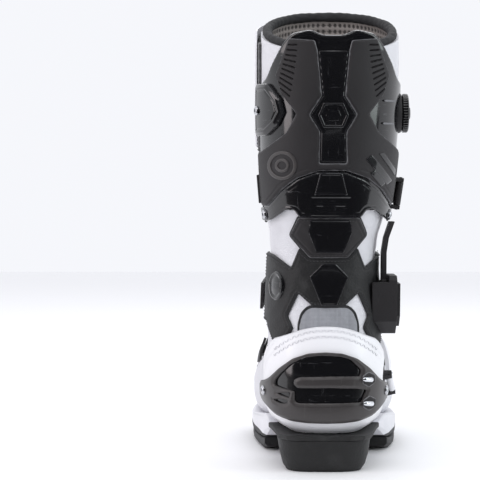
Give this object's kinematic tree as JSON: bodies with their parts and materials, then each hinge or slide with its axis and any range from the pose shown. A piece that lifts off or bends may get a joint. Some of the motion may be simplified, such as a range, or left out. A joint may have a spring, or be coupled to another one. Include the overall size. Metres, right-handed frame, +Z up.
{
  "type": "off-road riding boot",
  "caption": "Tall off-road riding boot, right foot: white leather upper, black hinged calf armour with a tension dial, buckled straps, slotted heel guard and lugged sole.",
  "frame": {"origin": "middle of the heel block's face on the ground", "axes": "+Z up the leg, +Y towards the toe, +X to the outer side of the right leg"},
  "size_m": [0.1295, 0.3306, 0.38],
  "materials": {
    "whiteLeather": "smooth coated microfibre",
    "whitePlastic": "smooth",
    "greyPad": "woven",
    "matteShell": "fine matt texture",
    "glossShell": "gloss",
    "rubber": "moulded",
    "meshLining": "air mesh",
    "binding": "padded roll",
    "webbing": "woven",
    "steel": "bright"
  },
  "bodies": {
    "foot": {"flex_leather": "whiteLeather", "foot_leather": "whiteLeather", "heel_cup": "whiteLeather", "insole": "greyPad", "achilles_pad": "greyPad", "frame_inset": "glossShell", "heel_guard": "glossShell", "heel_liner": "glossShell", "ankle_frame": "matteShell", "ankle_disc": "matteShell", "hinge_cover": "matteShell", "toe_flex_panel": "matteShell", "instep_guard": "matteShell", "ankle_base": "matteShell", "ankle_anchor": "matteShell", "instep_base": "matteShell", "instep_anchor": "matteShell", "hinge_pin": "steel", "heel_reflector_upper": "steel", "heel_reflector_lower": "steel", "heel_screw_inner": "steel", "heel_screw_outer": "steel", "shank": "steel", "toe_cap": "whitePlastic", "heel_block": "rubber", "midsole": "rubber", "forefoot_tread": "rubber", "ankle_strap": "webbing", "instep_strap": "webbing"},
    "cuff": {"leg_leather": "whiteLeather", "cuff_lining": "meshLining", "collar_binding": "binding", "calf_shell": "glossShell", "calf_plate": "matteShell", "spine_panel": "glossShell", "spine_badge": "glossShell", "achilles_brace": "glossShell", "brace_screw_inner": "steel", "brace_screw_outer": "steel", "calf_clamp": "matteShell", "clamp_screw": "steel", "dial_base": "glossShell", "dial_lace_upper": "steel", "dial_lace_lower": "steel", "shin_plate": "whitePlastic", "shin_insert": "matteShell", "grip_panel": "rubber", "closure_flap": "webbing", "flap_facing": "whitePlastic", "hinge_arm": "matteShell", "shin_base": "matteShell", "shin_strap": "webbing", "shin_anchor": "matteShell"},
    "achilles": {"achilles_plate": "matteShell", "achilles_inset": "glossShell"},
    "dial_knob": {"dial_knob": "matteShell"},
    "dial_button": {"dial_button": "glossShell"},
    "shin_lever": {"shin_lever": "matteShell"},
    "ankle_lever": {"ankle_lever": "matteShell"},
    "instep_lever": {"instep_lever": "matteShell"}
  },
  "joints": [
    {"name": "ankle_flex", "type": "hinge", "parent": "foot", "child": "cuff", "pos_m": [0, 0.006, 0.15], "axis": [-1, 0, 0], "range_deg": [0, 16], "deforming": ["flex_leather"]},
    {"name": "achilles_flex", "type": "hinge", "parent": "foot", "child": "achilles", "pos_m": [0, 0.006, 0.15], "axis": [-1, 0, 0], "range_deg": [0, 8]},
    {"name": "dial_spin", "type": "hinge", "parent": "cuff", "child": "dial_knob", "pos_m": [0.068, 0.006, 0.29], "axis": [1, 0, 0], "continuous": true},
    {"name": "dial_press", "type": "slide", "parent": "dial_knob", "child": "dial_button", "axis": [-1, 0, 0], "range_m": [0, 0.0015], "stiffness_N_per_m": 1500, "springref_m": -0.0005},
    {"name": "shin_buckle", "type": "hinge", "parent": "cuff", "child": "shin_lever", "pos_m": [0.06391, 0.01857, 0.22409], "axis": [-0.1435, 0.079, -0.9865], "range_deg": [0, 100]},
    {"name": "ankle_buckle", "type": "hinge", "parent": "foot", "child": "ankle_lever", "pos_m": [0.05457, 0.04724, 0.1354], "axis": [0.039, 0.2554, -0.9661], "range_deg": [0, 100]},
    {"name": "instep_buckle", "type": "hinge", "parent": "foot", "child": "instep_lever", "pos_m": [0.06185, 0.07119, 0.06103], "axis": [0.1978, 0.6688, -0.7166], "range_deg": [0, 100]}
  ],
  "couplings": [
    {"joint": "achilles_flex", "follows": "ankle_flex", "ratio": 0.5}
  ]
}
